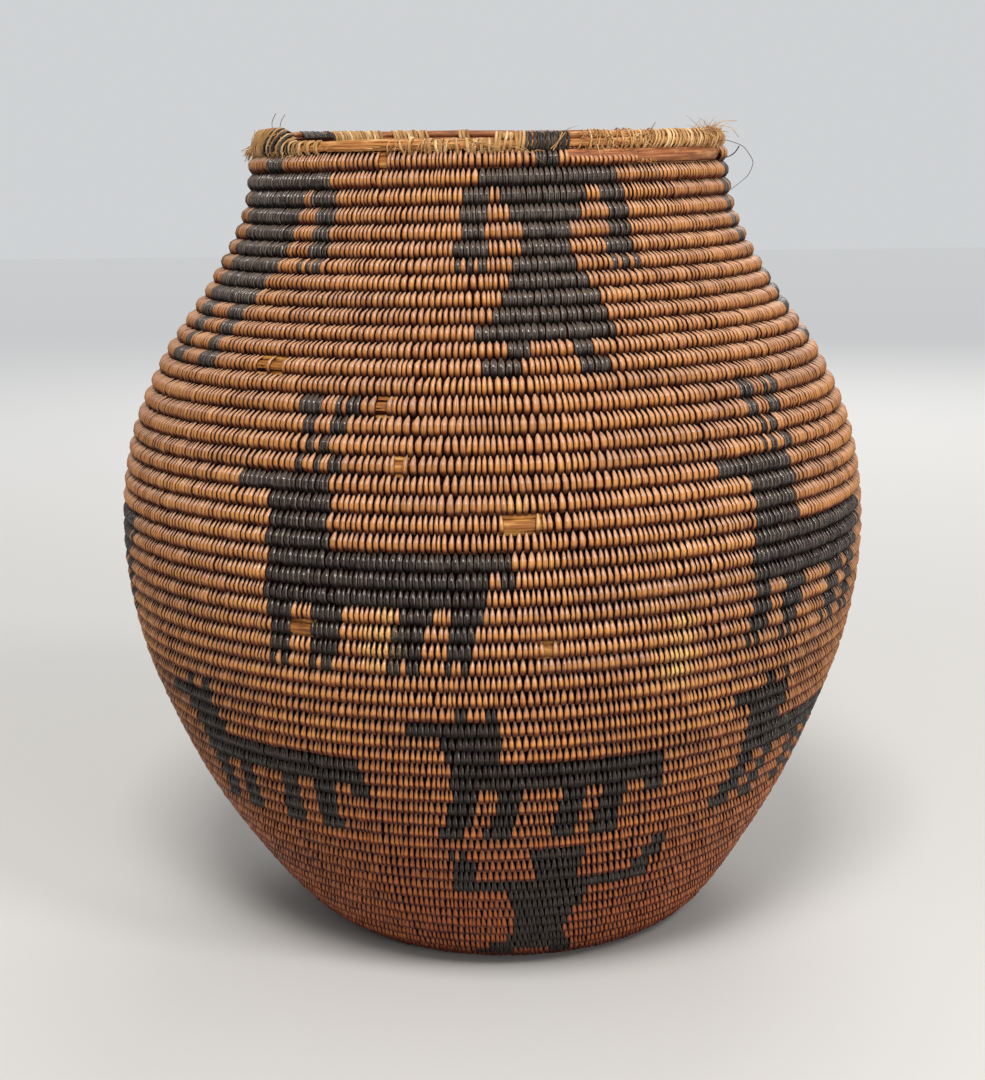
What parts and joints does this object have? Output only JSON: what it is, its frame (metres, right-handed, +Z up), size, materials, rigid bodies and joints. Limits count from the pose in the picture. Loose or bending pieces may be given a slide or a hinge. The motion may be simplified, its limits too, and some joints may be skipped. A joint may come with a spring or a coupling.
{
  "type": "coiled basket jar",
  "caption": "Tall coiled basket with a wide belly, a narrower open mouth and a flat round base, sewn in dark figures.",
  "frame": {"origin": "middle of the belly's outline, on the plane that the flat base stands on", "axes": "+Z up along the basket's height, -Y towards the front that the picture shows"},
  "size_m": [0.2744, 0.2744, 0.2978],
  "materials": {
    "willow_coil": "satin",
    "pale_splints": "satin",
    "dark_splints": "satin",
    "bare_rods": "satin"
  },
  "bodies": {
    "root": {"bare_rod_below_rim": "bare_rods", "base_coil_inner": "willow_coil", "base_coil_outer": "willow_coil", "rim_rod_inner": "bare_rods", "rim_rod_outer": "bare_rods", "rim_rod_top_back": "bare_rods", "rim_rod_top_front": "bare_rods", "start_knot": "willow_coil", "wall_coil_01": "willow_coil", "wall_coil_02": "willow_coil", "wall_coil_03": "willow_coil", "wall_coil_04": "willow_coil", "wall_coil_05": "willow_coil", "wall_coil_06": "willow_coil", "wall_coil_07": "willow_coil", "wall_coil_08": "willow_coil", "wall_coil_09": "willow_coil", "wall_coil_10": "willow_coil", "wall_coil_11": "willow_coil", "wall_coil_12": "willow_coil", "wall_coil_13": "willow_coil", "wall_coil_14": "willow_coil", "wall_coil_15": "willow_coil", "wall_coil_16": "willow_coil", "wall_coil_17": "willow_coil", "wall_coil_18": "willow_coil", "wrap_back_dark": "dark_splints", "wrap_back_pale_long": "pale_splints", "wrap_back_pale_short": "pale_splints", "wrap_back_pale_small": "pale_splints", "wrap_end_pale": "pale_splints", "wrap_front_dark": "dark_splints", "wrap_front_pale": "pale_splints", "wrap_left_dark": "dark_splints", "wrap_left_pale": "pale_splints", "wrap_right_pale": "pale_splints"}
  },
  "joints": []
}
